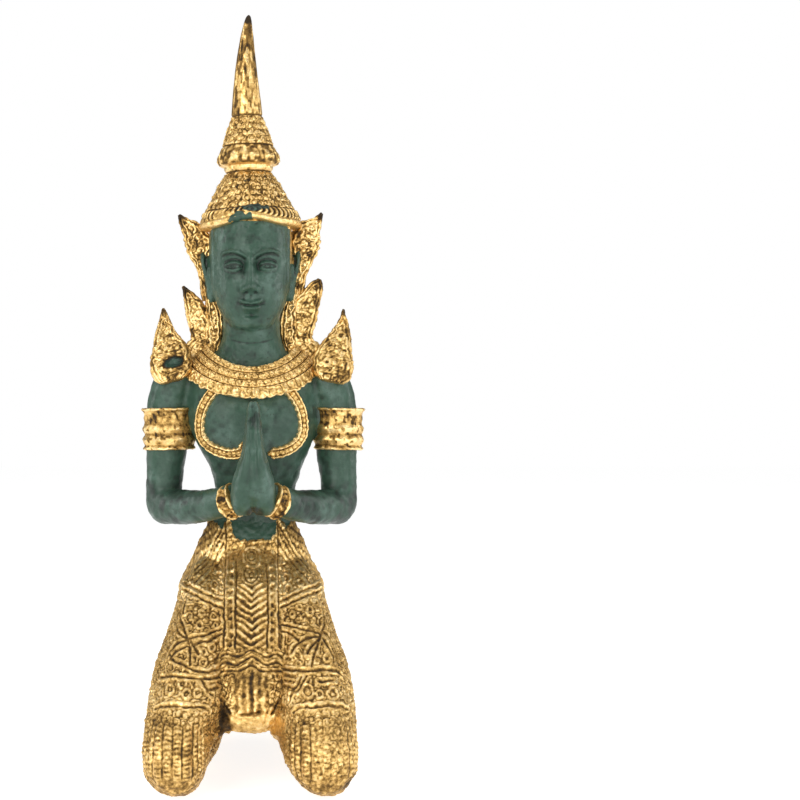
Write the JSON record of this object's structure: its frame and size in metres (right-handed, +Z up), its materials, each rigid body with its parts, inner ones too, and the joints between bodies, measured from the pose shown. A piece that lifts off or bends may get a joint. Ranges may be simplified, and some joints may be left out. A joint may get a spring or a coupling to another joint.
{
  "type": "kneeling angel statue",
  "caption": "Kneeling Thai angel statue with palms joined in prayer, a tall tiered crown, flame epaulettes, a broad collar and a carved sarong.",
  "frame": {"origin": "centre of the base on the ground, midway between the knees and the feet", "axes": "+Z up along the crown, -Y the way the figure faces, +X to the viewer's right from the front"},
  "size_m": [0.0906, 0.1472, 0.3],
  "materials": {
    "gilding": "worn gold leaf over dark lacquer, with brown dirt in the carving"
  },
  "bodies": {
    "root": {"statue": "gilding"}
  },
  "joints": []
}
